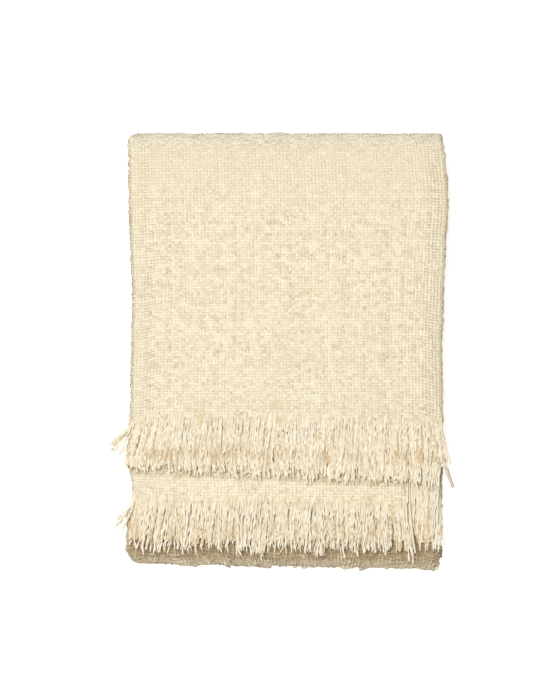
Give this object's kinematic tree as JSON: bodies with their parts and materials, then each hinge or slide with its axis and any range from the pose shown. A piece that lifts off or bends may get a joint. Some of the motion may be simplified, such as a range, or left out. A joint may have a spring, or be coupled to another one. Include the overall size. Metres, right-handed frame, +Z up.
{
  "type": "folded boucle throw",
  "caption": "Cream boucle throw blanket, folded into a flat stack with round folds and with loose thread fringes along both short ends.",
  "frame": {"origin": "middle of the folded stack on the plane that its underside rests on", "axes": "+X to the open side where the selvages end, +Y to the round back fold and away from the fringes, +Z up"},
  "size_m": [0.3678, 0.4636, 0.056],
  "materials": {
    "boucle": "nubby plain weave of looped yarn, matt",
    "fringe_yarn": "loose spun warp yarn, matt"
  },
  "bodies": {
    "root": {"cloth": "boucle", "upper_fringe": "fringe_yarn", "lower_fringe": "fringe_yarn"}
  },
  "joints": []
}
